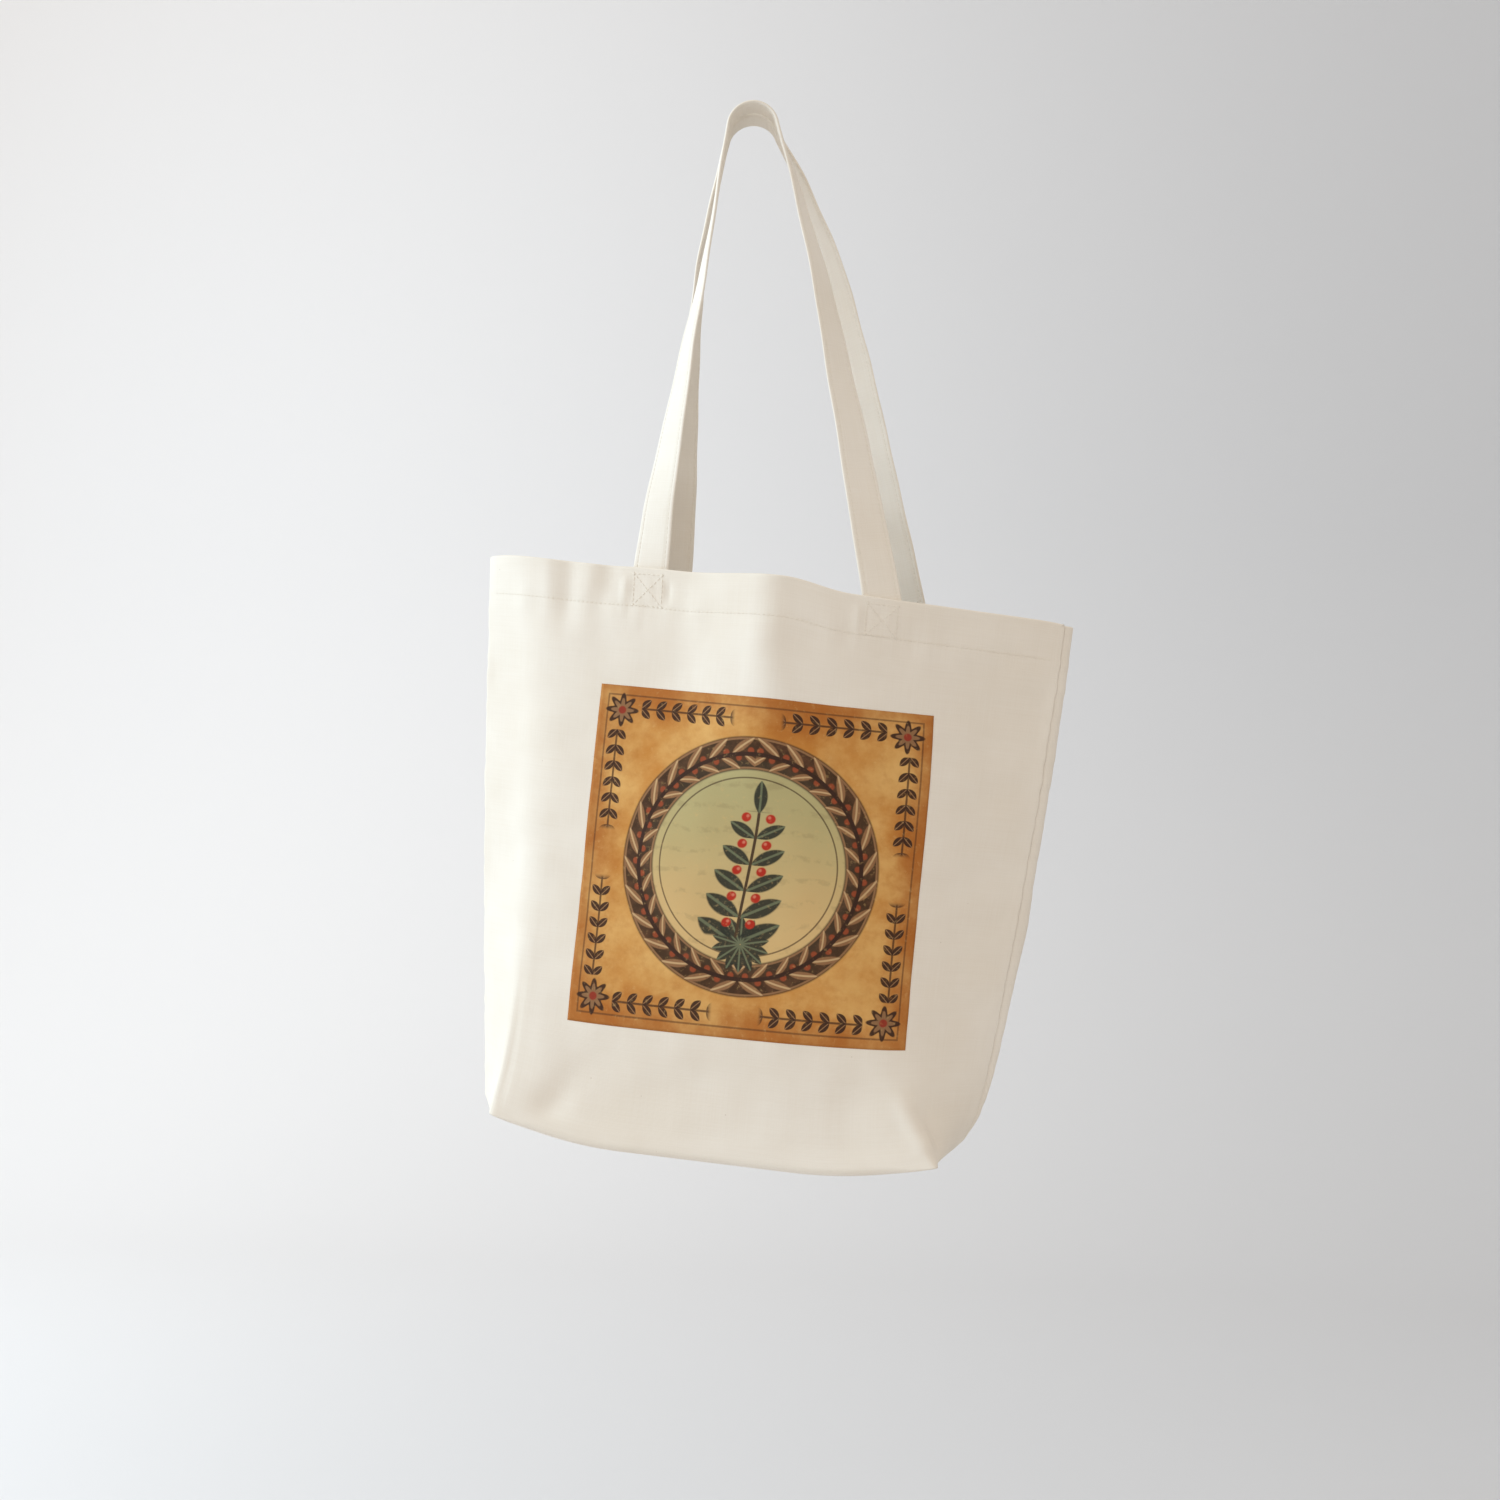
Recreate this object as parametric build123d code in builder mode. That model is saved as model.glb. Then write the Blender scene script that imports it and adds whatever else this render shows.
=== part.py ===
from build123d import *

import os
from math import acos, asin, atan2, cos, degrees, hypot, pi, radians, sin, sqrt

# Cloth and thread
canvas_thickness = 0.8
ply_gap = 0.15  # air between two plies that are sewn face to face
thread_width = 0.7
thread_thickness = 0.4
stitch_inset = 3.0  # from a sewn edge to its row of stitches

# Body of the bag as it hangs
mouth_width = 406.0  # side seam to side seam
mouth_depth = 106.0  # front to rear, in the middle
fold_spacing = 300.0  # at the mouth, between the folds that rise from the base corners
base_length = 304.0
base_depth = 110.0
bag_height = 374.0  # mouth to base corners
base_sag = 15.0  # the middle of the base hangs this far below its corners
side_taper = 3.0  # the power with which the side seams curve in towards the base
hem_depth = 28.0
seam_allowance = 10.0

# How it hangs, from the axis of a peg along Y through the origin
hang_tilt = 6.2  # degrees, the mouth slopes down to the right
mouth_drop = 309.0
balance_drop = 164.0  # from the mouth to the point that hangs straight under the peg

# Handles
strap_width = 26.0
strap_thickness = 2.6
strap_spacing = 164.0  # middle to middle, along the mouth
strap_end_length = 40.0  # sewn down inside the hem
seat_radius = 16.0  # of the peg that the handles hang on
seat_gap = 2.0  # between both straps on the peg
hinge_gap = 0.4  # between the sewn end and the free loop
twist_steps = 6
twist_power = 2.2  # the strap keeps most of its quarter turn for its lower end

# Box stitching through each strap end
box_width = 20.0
box_height = 21.0
box_drop = 14.0  # from the mouth to the middle of the box
box_lift = 0.4  # clear of the curved cloth behind it

# Printed square
print_size = 225.0
print_shift = 8.5  # to the right of the panel's middle
print_drop = 190.0  # from the mouth to the middle of the print
print_thickness = 0.2

# Values worked out from those above
foot_bow = canvas_thickness / 2  # the foot of each panel bows out by less than its cloth
hem_inset = canvas_thickness + ply_gap
seam_thickness = 2 * canvas_thickness
corner_top = bag_height - canvas_thickness - ply_gap - seam_allowance
middle_levels = [bag_height * share for share in (0.3, 0.55, 0.75, 0.9)]
foot_level = bag_height + base_sag + canvas_thickness
wall_levels = [0, hem_depth, *middle_levels, corner_top, bag_height, foot_level]
mouth_radius = (mouth_width**2 + mouth_depth**2) / (4 * mouth_depth)
strap_rise = strap_width**2 / (8 * mouth_radius)  # of the curved hem behind a flat strap end
strap_inset = hem_inset + 2 * canvas_thickness + strap_rise + ply_gap + strap_thickness / 2
fold_depth = mouth_depth / 2 - mouth_radius + sqrt(mouth_radius**2 - fold_spacing**2 / 4)
sag_radius = (base_length**2 / 4 + base_sag**2) / (2 * base_sag)
sag_centre = (0, sag_radius - base_sag - bag_height)

# The mouth's own plane: x along the mouth, y front to rear, z up the bag
tilt = radians(hang_tilt)
mouth_plane = Plane(
    origin=(balance_drop * sin(tilt), 0, -mouth_drop),
    x_dir=(cos(tilt), 0, -sin(tilt)),
    z_dir=(sin(tilt), 0, cos(tilt)),
)
# The plane of both side seams, seen from the front
seam_plane = Plane(mouth_plane.origin, x_dir=mouth_plane.x_dir, z_dir=(0, -1, 0))
# The plane that halves the bag from left to right
middle_plane = Plane(mouth_plane.origin, x_dir=(0, 1, 0), z_dir=mouth_plane.x_dir)


def between(start, end, share):
    return start + (end - start) * share


def panel_arc(drop):
    """Corner fold, middle and radius of the rear panel's bow, at a drop below the mouth."""
    fall = min(drop / bag_height, 1)
    corner = Vector(
        between(fold_spacing, base_length, fall) / 2, between(fold_depth, base_depth / 2, fall)
    )
    middle = Vector(0, between(mouth_depth / 2, base_depth / 2 + foot_bow, fall))
    bow = middle.Y - corner.Y
    radius = (corner.X**2 + bow**2) / (2 * bow)
    return corner, middle, radius


def outline(drop, inset):
    """Seam, corner fold and middle of the rear panel's outer face, moved inwards by the inset."""
    fall = min(drop / bag_height, 1)
    seam = Vector(between(mouth_width, base_length, fall**side_taper) / 2, 0)
    corner, middle, radius = panel_arc(drop)
    gusset = (corner - seam).normalized()
    gusset_inward = Vector(-gusset.Y, gusset.X)
    corner_inward = (Vector(0, middle.Y - radius) - corner).normalized()
    mitre = (gusset_inward + corner_inward) / (1 + gusset_inward.dot(corner_inward))
    return (
        seam + Vector(inset / gusset_inward.X, 0),
        corner + mitre * inset,
        middle - Vector(0, inset),
    )


def ply_cuts(levels, outer_inset, inner_inset):
    """Level cuts through a ply of cloth at the front of the bag, from top to bottom."""
    cuts = []
    for drop in levels:
        ends = []
        with BuildSketch(mouth_plane.offset(-drop)) as cut:
            with BuildLine():
                for inset in (outer_inset, inner_inset):
                    seam, corner, middle = outline(drop, inset)
                    Line((seam.X, 0), (corner.X, -corner.Y))
                    ThreePointArc((corner.X, -corner.Y), (0, -middle.Y), (-corner.X, -corner.Y))
                    Line((-corner.X, -corner.Y), (-seam.X, 0))
                    ends.append(seam.X)
                Line((ends[0], 0), (ends[1], 0))
                Line((-ends[0], 0), (-ends[1], 0))
            make_face()
        cuts.append(cut.sketch)
    return cuts


def base_strip(lower_inset, upper_inset, half_length):
    """The hanging curve of the base seen from the front, as a strip above its outer face."""
    half_turn = degrees(asin(half_length / (sag_radius - lower_inset)))
    with BuildSketch(seam_plane) as strip:
        with BuildLine():
            lower = CenterArc(sag_centre, sag_radius - lower_inset, -90 - half_turn, 2 * half_turn)
            upper = CenterArc(sag_centre, sag_radius - upper_inset, -90 - half_turn, 2 * half_turn)
            Line(lower @ 0, upper @ 0)
            Line(lower @ 1, upper @ 1)
        make_face()
    return strip.sketch


def wall_plane(along, drop, inset):
    """A plane on the front panel: x along the cloth, y up the bag, z out of the bag."""
    corner, middle, radius = panel_arc(drop)
    turn = asin(along / radius)
    reach = radius - inset
    local = Vector(reach * sin(turn), radius - middle.Y - reach * cos(turn), -drop)
    return Plane(
        mouth_plane.from_local_coords(local),
        x_dir=mouth_plane.x_dir * cos(turn) + mouth_plane.y_dir * sin(turn),
        z_dir=mouth_plane.x_dir * sin(turn) - mouth_plane.y_dir * cos(turn),
    )


# Panels: each carries half of both gussets and half of the base
with BuildPart() as front_panel:
    loft(ply_cuts(wall_levels, 0, canvas_thickness), ruled=True)
    with BuildSketch(seam_plane):
        with BuildLine():
            edge = CenterArc(
                sag_centre,
                sag_radius,
                -90 - degrees(asin(base_length / 2 / sag_radius)),
                2 * degrees(asin(base_length / 2 / sag_radius)),
            )
            Polyline(
                edge @ 0,
                (-base_length, -bag_height),
                (-base_length, -2 * bag_height),
                (base_length, -2 * bag_height),
                (base_length, -bag_height),
                edge @ 1,
            )
        make_face()
    extrude(amount=2 * base_depth, both=True, mode=Mode.SUBTRACT)
    extrude(base_strip(0, canvas_thickness, base_length / 2), amount=base_depth / 2)

# Hem: two plies turned in along the mouth
with BuildPart() as front_hem:
    loft(ply_cuts((0, hem_depth), hem_inset, hem_inset + 2 * canvas_thickness), ruled=True)

stitch_top = hem_depth - stitch_inset - thread_width / 2
stitch_levels = (stitch_top, stitch_top + thread_width)
with BuildPart() as front_hem_stitching:
    loft(ply_cuts(stitch_levels, -ply_gap - thread_thickness, -ply_gap), ruled=True)

# Print: a thin film over the middle of the front panel
with BuildPart() as print_panel:
    loft(ply_cuts(wall_levels, -ply_gap - print_thickness, -ply_gap), ruled=True)
    with BuildSketch(seam_plane):
        with Locations((print_shift, -print_drop)):
            Rectangle(print_size, print_size)
    extrude(amount=mouth_depth, mode=Mode.INTERSECT)

# Seams: the sewn edges of both panels, standing inside the bag
seam_levels = [hem_depth, *middle_levels, corner_top]
with BuildPart() as right_side_seam:
    with BuildSketch(seam_plane):
        with BuildLine():
            outer_edge = []
            for drop in seam_levels:
                seam, corner, middle = outline(drop, hem_inset)
                outer_edge.append((between(seam.X, corner.X, seam_thickness / 2 / corner.Y), -drop))
            inner_edge = [(x - seam_allowance, z) for x, z in outer_edge]
            Polyline(*outer_edge, *reversed(inner_edge), close=True)
        make_face()
    extrude(amount=seam_thickness / 2, both=True)

with BuildPart() as left_side_seam:
    mirror(right_side_seam.part, about=middle_plane)

corner_face = outline(corner_top, hem_inset)[1]
with BuildPart() as right_corner_seam:
    with BuildSketch(seam_plane):
        with Locations((corner_face.X, -corner_top)):
            Rectangle(seam_thickness, seam_allowance, align=(Align.MAX, Align.MAX))
    extrude(amount=corner_face.Y, both=True)

with BuildPart() as left_corner_seam:
    mirror(right_corner_seam.part, about=middle_plane)

base_seam_reach = corner_face.X - seam_thickness - ply_gap
with BuildPart() as base_seam:
    base_seam_strip = base_strip(hem_inset, hem_inset + seam_allowance, base_seam_reach)
    extrude(base_seam_strip, amount=seam_thickness / 2, both=True)

# Strap ends: sewn flat inside the hem
with BuildPart() as front_handle_right_end:
    with BuildSketch(wall_plane(strap_spacing / 2, 0, strap_inset)):
        Rectangle(strap_width, strap_end_length, align=(Align.CENTER, Align.MAX))
    extrude(amount=strap_thickness / 2, both=True)

with BuildPart() as front_handle_left_end:
    mirror(front_handle_right_end.part, about=middle_plane)

# Box stitching: a frame and its cross, through hem and strap end
box_slant = degrees(atan2(box_height, box_width))
with BuildPart() as front_right_box_stitching:
    with BuildSketch(wall_plane(strap_spacing / 2, box_drop, -box_lift)):
        Rectangle(box_width, box_height)
        Rectangle(box_width - 2 * thread_width, box_height - 2 * thread_width, mode=Mode.SUBTRACT)
        for slant in (box_slant, -box_slant):
            Rectangle(hypot(box_width, box_height) - 2 * thread_width, thread_width, rotation=slant)
    extrude(amount=thread_thickness)

with BuildPart() as front_left_box_stitching:
    mirror(front_right_box_stitching.part, about=middle_plane)


# Free loops: over the peg the strap's width lies along the peg, at the hem along the mouth
strap_radius = seat_radius + strap_thickness / 2
strap_middle = -(seat_gap + strap_width) / 2
feet = {hand: wall_plane(hand * strap_spacing / 2, -hinge_gap, strap_inset) for hand in (-1, 1)}
leave_angles = {
    hand: atan2(foot.origin.Z, foot.origin.X)
    + hand * acos(strap_radius / hypot(foot.origin.X, foot.origin.Z))
    for hand, foot in feet.items()
}
seat_start = degrees(leave_angles[1])
seat_turn = degrees(leave_angles[-1] - leave_angles[1]) % 360


def leg_planes(hand):
    """Cuts across one leg of the front loop from the peg (0) down to the hem, -1 left and 1 right."""
    angle = leave_angles[hand]
    top = Vector(strap_radius * cos(angle), strap_middle, strap_radius * sin(angle))
    foot = feet[hand].origin
    run = (foot - top).normalized()
    tangent = Vector(run.X, 0, run.Z).normalized()
    planes = [Plane(top, x_dir=(0, -1, 0), z_dir=tangent)]
    for step in range(1, twist_steps):
        turn = pi / 2 * step / twist_steps
        edge = Vector(0, -cos(turn), 0) - feet[hand].x_dir * hand * sin(turn)
        edge = (edge - run * edge.dot(run)).normalized()
        place = top + (foot - top) * (step / twist_steps) ** (1 / twist_power)
        planes.append(Plane(place, x_dir=edge, z_dir=run))
    planes.append(Plane(foot, x_dir=feet[hand].x_dir * -hand, z_dir=-mouth_plane.z_dir))
    return planes


def leg_cuts(hand, width, thickness, across=0, lift=0):
    """A band along one leg, its middle set across the strap and lifted off its outer face."""
    cuts = []
    for plane in leg_planes(hand):
        with BuildSketch(plane) as cut:
            with Locations((across, -hand * lift)):
                Rectangle(width, thickness)
        cuts.append(cut.sketch)
    return cuts


def seat_band(near, inner_radius, outer_radius, break_angle=0):
    """The arc of a band over the peg, at a distance in front of the origin, short of both legs."""
    start = seat_start + break_angle
    turn = seat_turn - 2 * break_angle
    with BuildSketch(Plane.XZ.offset(near)) as band:
        with BuildLine():
            inner = CenterArc((0, 0), inner_radius, start, turn)
            outer = CenterArc((0, 0), outer_radius, start, turn)
            Line(inner @ 0, outer @ 0)
            Line(inner @ 1, outer @ 1)
        make_face()
    return band.sketch


with BuildPart() as front_handle:
    extrude(seat_band(seat_gap / 2, seat_radius, seat_radius + strap_thickness), amount=strap_width)
    for hand in (-1, 1):
        loft(leg_cuts(hand, strap_width, strap_thickness), ruled=True)

# Edge stitching: two rows on the strap's outer face, each in three runs of thread
row_offset = strap_width / 2 - stitch_inset
row_lift = strap_thickness / 2 + ply_gap + thread_thickness / 2
thread_base = seat_radius + strap_thickness + ply_gap
thread_top = thread_base + thread_thickness
thread_break = degrees(thread_width / thread_base)
with BuildPart() as front_handle_stitching:
    for row in (-row_offset, row_offset):
        near = row - strap_middle - thread_width / 2
        extrude(seat_band(near, thread_base, thread_top, thread_break), amount=thread_width)
        for hand in (-1, 1):
            loft(leg_cuts(hand, thread_width, thread_thickness, row, row_lift), ruled=True)

# The rear half of the bag mirrors its front half
with BuildPart() as rear_panel:
    mirror(front_panel.part, about=Plane.XZ)

with BuildPart() as rear_hem:
    mirror(front_hem.part, about=Plane.XZ)

with BuildPart() as rear_hem_stitching:
    mirror(front_hem_stitching.part, about=Plane.XZ)

with BuildPart() as rear_handle:
    mirror(front_handle.part, about=Plane.XZ)

with BuildPart() as rear_handle_stitching:
    mirror(front_handle_stitching.part, about=Plane.XZ)

with BuildPart() as rear_handle_right_end:
    mirror(front_handle_right_end.part, about=Plane.XZ)

with BuildPart() as rear_handle_left_end:
    mirror(front_handle_left_end.part, about=Plane.XZ)

with BuildPart() as rear_right_box_stitching:
    mirror(front_right_box_stitching.part, about=Plane.XZ)

with BuildPart() as rear_left_box_stitching:
    mirror(front_left_box_stitching.part, about=Plane.XZ)

pieces = {
    "front_panel": front_panel,
    "rear_panel": rear_panel,
    "front_hem": front_hem,
    "rear_hem": rear_hem,
    "left_side_seam": left_side_seam,
    "right_side_seam": right_side_seam,
    "base_seam": base_seam,
    "left_corner_seam": left_corner_seam,
    "right_corner_seam": right_corner_seam,
    "front_handle": front_handle,
    "rear_handle": rear_handle,
    "front_handle_left_end": front_handle_left_end,
    "front_handle_right_end": front_handle_right_end,
    "rear_handle_left_end": rear_handle_left_end,
    "rear_handle_right_end": rear_handle_right_end,
    "front_hem_stitching": front_hem_stitching,
    "rear_hem_stitching": rear_hem_stitching,
    "front_handle_stitching": front_handle_stitching,
    "rear_handle_stitching": rear_handle_stitching,
    "front_left_box_stitching": front_left_box_stitching,
    "front_right_box_stitching": front_right_box_stitching,
    "rear_left_box_stitching": rear_left_box_stitching,
    "rear_right_box_stitching": rear_right_box_stitching,
    "print_panel": print_panel,
}

os.makedirs("parts", exist_ok=True)
for name, piece in pieces.items():
    piece.part.label = name
    export_step(piece.part, f"parts/{name}.step")
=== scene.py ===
"""A natural canvas tote bag with a printed front, hung by its two handles."""
import math
from functools import partialmethod

import bpy
import numpy as np
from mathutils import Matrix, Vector


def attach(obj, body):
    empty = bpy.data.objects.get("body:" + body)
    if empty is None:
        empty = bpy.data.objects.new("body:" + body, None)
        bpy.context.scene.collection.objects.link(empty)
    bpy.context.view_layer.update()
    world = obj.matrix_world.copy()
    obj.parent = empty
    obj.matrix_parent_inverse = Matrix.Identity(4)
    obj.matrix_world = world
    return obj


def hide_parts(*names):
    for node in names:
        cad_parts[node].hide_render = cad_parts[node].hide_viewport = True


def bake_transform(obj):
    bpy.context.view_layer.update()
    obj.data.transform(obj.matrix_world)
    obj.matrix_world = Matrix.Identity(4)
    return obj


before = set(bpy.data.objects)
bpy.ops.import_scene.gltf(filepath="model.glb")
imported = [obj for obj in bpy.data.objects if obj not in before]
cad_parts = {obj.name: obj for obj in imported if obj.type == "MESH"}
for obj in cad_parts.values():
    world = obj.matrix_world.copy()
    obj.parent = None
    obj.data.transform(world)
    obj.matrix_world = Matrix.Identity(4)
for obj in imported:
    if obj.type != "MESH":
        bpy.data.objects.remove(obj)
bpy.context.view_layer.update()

# The view and the room: a camera at the photograph's angle, a pale floor that curves up into a far
# backdrop, both with painted light and shade, lighter on the left and darker on the right, one broad cool
# lamp like a window on the left, and an even warm sky.
scene = bpy.context.scene
view_turn = math.radians(10)
view_distance = 1.43
view_aim = Vector((-0.0021, 0, -0.420))


def add_object(name, data):
    made = bpy.data.objects.new(name, data)
    scene.collection.objects.link(made)
    return made


camera = add_object("photo_camera", bpy.data.cameras.new("photo_camera"))
camera.data.lens = 50
camera.data.sensor_width = 36
camera.location = view_aim + view_distance * Vector((math.sin(view_turn), -math.cos(view_turn), 0))
camera.rotation_euler = (math.pi / 2, 0, view_turn)
scene.camera = camera
scene.view_settings.view_transform = "Standard"


class Value:
    """A socket of a finish. Sums and products of values add Math nodes to that finish."""

    def __init__(self, finish, socket):
        self.finish = finish
        self.socket = socket

    def other(self, name):
        return Value(self.finish, self.socket.node.outputs[name])

    def maths(self, operation, *terms):
        return self.finish.node("Math", {"operation": operation}, dict(enumerate((self, *terms))))

    def __rsub__(self, term):
        return self.finish.node("Math", {"operation": "SUBTRACT"}, {0: term, 1: self})

    __add__ = __radd__ = partialmethod(maths, "ADD")
    __sub__ = partialmethod(maths, "SUBTRACT")
    __mul__ = __rmul__ = partialmethod(maths, "MULTIPLY")
    __truediv__ = partialmethod(maths, "DIVIDE")
    __pow__ = partialmethod(maths, "POWER")
    __abs__ = partialmethod(maths, "ABSOLUTE")
    sine = partialmethod(maths, "SINE")
    cosine = partialmethod(maths, "COSINE")
    turn_from = partialmethod(maths, "ARCTAN2")
    root = partialmethod(maths, "SQRT")
    fraction = partialmethod(maths, "FRACT")
    least = partialmethod(maths, "MINIMUM")
    most = partialmethod(maths, "MAXIMUM")

    def ramp(self, low, high):
        """0 below low, 1 above high, a smooth step between them; low may be the greater one."""
        settings = {"interpolation_type": "SMOOTHSTEP"}
        return self.finish.node("MapRange", settings, {0: self, 1: low, 2: high})


class Finish:
    """A material whose look comes from nodes; every node is made by its one method."""

    def __init__(self, name, coordinates):
        self.material = bpy.data.materials.new(name)
        self.material.use_nodes = True
        self.place = self.node("TexCoord", {}, {}, coordinates)

    def node(self, kind, settings, sockets, out=0):
        made = self.material.node_tree.nodes.new("ShaderNode" + kind)
        for key, setting in settings.items():
            setattr(made, key, setting)
        self.feed(made, sockets)
        return Value(self, made.outputs[out])

    def feed(self, node, sockets):
        for key, value in sockets.items():
            if isinstance(value, Value):
                self.material.node_tree.links.new(value.socket, node.inputs[key])
            else:
                node.inputs[key].default_value = value

    def noise(self, scale, detail, **more):
        sockets = {"Vector": self.place, "Scale": scale, "Detail": detail, **more}
        return self.node("TexNoise", {}, sockets)

    def parts(self):
        """The first two parts of the place."""
        across = self.node("SeparateXYZ", {}, {0: self.place})
        return across, across.other("Y")

    def mix(self, share, first, second):
        settings = {"data_type": "RGBA", "blend_type": "MIX"}
        return self.node("Mix", settings, {0: share, 6: first, 7: second}, out=2)

    def bump(self, strength, distance, height):
        sockets = {"Strength": strength, "Distance": distance, "Height": height}
        return self.node("Bump", {}, sockets)

    def surface(self, tone, rough, **more):
        """The finished material, from its colour, its roughness and what else its shader is given."""
        shader = self.material.node_tree.nodes["Principled BSDF"]
        self.feed(shader, {"Base Color": tone, "Roughness": rough, **more})
        return self.material


def paint(red, green, blue):
    """A colour given as it shows on a screen, from 0 to 255, as the shader's linear colour."""
    shown = np.array((red, green, blue)) / 255
    linear = np.where(shown <= 0.04045, shown / 12.92, ((shown + 0.055) / 1.055) ** 2.4)
    return (*(float(part) for part in linear), 1.0)


def make_piece(name, points, faces, material, uv=None):
    """A smooth mesh object at the origin from points in the frame, with a UV place for each point."""
    mesh = bpy.data.meshes.new(name)
    mesh.from_pydata(np.asarray(points).reshape(-1, 3).tolist(), [], [tuple(face) for face in faces])
    mesh.materials.append(material)
    mesh.polygons.foreach_set("use_smooth", [True] * len(mesh.polygons))
    if uv is not None:
        corner = np.zeros(len(mesh.loops), dtype=np.int32)
        mesh.loops.foreach_get("vertex_index", corner)
        layer = mesh.uv_layers.new(name="cloth")
        layer.data.foreach_set("uv", np.asarray(uv, dtype=np.float32).reshape(-1, 2)[corner].ravel())
    mesh.update()
    return add_object(name, mesh)


floor_level = -1.05
floor_front = -14.0
wall_depth = 2.05
bend_radius = 1.0
wall_top = 3.2
room_half_width = 14.0
bend = np.linspace(0, math.pi / 2, 25)
room_line = [(floor_front, floor_level)]
room_line += [(wall_depth - bend_radius + bend_radius * math.sin(turn),
               floor_level + bend_radius - bend_radius * math.cos(turn)) for turn in bend]
room_line += [(wall_depth, wall_top)]
room_points = [(side * room_half_width, y, z) for y, z in room_line for side in (-1, 1)]
room_faces = [(2 * k, 2 * k + 1, 2 * k + 3, 2 * k + 2) for k in range(len(room_line) - 1)]
room_paint = Finish("pale_room_paint", "Object")
# painted light and shade: the floor and backdrop are painted lighter on the left and darker on the right,
# with a soft mottle
painted_light_share = (room_paint.parts()[0] + room_paint.noise(0.8, 3.0) * 0.2 - 0.1).ramp(-1.3, 1.2)
room_tone_with_painted_light = room_paint.mix(painted_light_share, paint(238, 234, 232), paint(205, 204, 205))
room = make_piece("pale_floor_and_backdrop", room_points, room_faces, room_paint.surface(room_tone_with_painted_light, 0.9))

bag_middle = Vector((0, 0, -0.45))
window = add_object("window_lamp", bpy.data.lights.new("window_lamp", "AREA"))
window.data.shape = "DISK"
window.data.size = 1.5
window.data.energy = 48
window.data.color = (0.60, 0.82, 1.0)
window.location = (-2.30, -0.56, 0.55)
window.rotation_euler = (bag_middle - window.location).to_track_quat("-Z", "Y").to_euler()
window.visible_camera = False
sky = bpy.data.worlds.new("even_sky")
sky.use_nodes = True
sky.node_tree.nodes["Background"].inputs["Color"].default_value = (1.0, 0.953, 0.894, 1)
sky.node_tree.nodes["Background"].inputs["Strength"].default_value = 0.85
scene.world = sky

# The front and rear panel: two cuts of natural cotton canvas, each with half of both side gussets and half of
# the base. Sewn edge to edge they hang as one soft shell, boxed and sharp at the base, and at the mouth an
# open lens that buckles into a ridge between the feet of the front handle.
hang_tilt = math.radians(6.2)
mouth_drop, mouth_swing = 0.309, 0.164
mouth_middle = np.array((mouth_swing * math.sin(hang_tilt), 0, -mouth_drop))
along_mouth = np.array((math.cos(hang_tilt), 0, -math.sin(hang_tilt)))
to_rear = np.array((0.0, 1.0, 0.0))
up_bag = np.array((math.sin(hang_tilt), 0, math.cos(hang_tilt)))
bag_height = 0.374
rim_radius = 0.00125
canvas_thickness = 0.0008
base_half_depth = 0.055
foot_offset = 0.082
hem_depth = 0.028
cloth_step = 0.0024


def in_frame(u, v, w):
    """Points given along the mouth, towards the rear and up from the mouth, in the shared frame."""
    u, v, w = np.broadcast_arrays(u, v, w)
    return mouth_middle + u[..., None] * along_mouth + v[..., None] * to_rear + w[..., None] * up_bag


def ease(x, low, high):
    share = np.clip((x - low) / (high - low), 0, 1)
    return share * share * (3 - 2 * share)


def between(x, start, full, fading, end):
    """0 outside start and end, 1 from full to fading, smooth steps between them."""
    return ease(x, start, full) * (1 - ease(x, fading, end))


def bell(x, middle, width):
    return np.exp(-((x - middle) / width) ** 2)


def unit(vectors, least=1e-12):
    return vectors / np.maximum(np.linalg.norm(vectors, axis=-1, keepdims=True), least)


def run_along(line):
    """How far along a line of points each of them lies."""
    return np.concatenate(([0], np.cumsum(np.linalg.norm(np.diff(line, axis=0), axis=1))))


# the rows of the cloth, from mouth to base, lie closer at the rim, at the hem's edge and at the base
fine_step = 0.001
rows = np.unique(np.round(np.concatenate((
    np.arange(0, 0.005, fine_step), np.arange(0.006, 0.020, cloth_step), np.arange(0.0205, 0.0305, fine_step),
    np.arange(0.032, bag_height - 0.014, cloth_step), np.linspace(bag_height - 0.012, bag_height, 16))), 6))
fall = rows / bag_height


def chain(*corners):
    """Rows of corner points from pairs of along and depth, each a number or one number a row."""
    return np.stack([np.stack(np.broadcast_arrays(u, v, fall)[:2], axis=1) for u, v in corners], axis=1)


# the plan of each panel, row by row: corners as pairs of along and depth, and how far each is rounded off
left_seam_line = (-(0.208 - 0.0385 * fall + 0.0032 * np.sin(math.pi * fall)), 0.0)
right_seam_line = (0.1985 - 0.0245 * fall ** 1.5 - 0.0165 * fall ** 22, -0.004 * (1 - fall ** 6))
left_fold_base, right_fold_base = -0.1495, 0.1545
left_fold_run, right_fold_run = left_fold_base + foot_offset, right_fold_base - foot_offset
lower = ease(fall, 0.10, 0.52)
pinch = np.sin(math.pi * fall ** 3)
left_fold = (-(0.138 + 0.0115 * fall ** 6 + 0.013 * (1 - fall) + 0.025 * (1 - fall) ** 6),
             -(0.0255 + 0.0295 * fall ** 1.5 - 0.0040 * pinch))
valley = (-0.094 + 0.020 * fall, -(0.0328 + 0.0227 * fall ** 1.2))
flank = (-0.058 + 0.036 * fall, -(0.0403 + 0.0153 * lower))
ridge = (0.003 + 0.078 * fall ** 1.7, -(0.0685 - 0.0090 * lower - 0.0039 * ease(fall, 0.4, 1)))
right_fold = (foot_offset + right_fold_run * fall ** 3.2, -(0.0505 + 0.0045 * fall - 0.0070 * pinch))
front_corners = chain(left_seam_line, left_fold, valley, flank, ridge, right_fold, right_seam_line)
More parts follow.
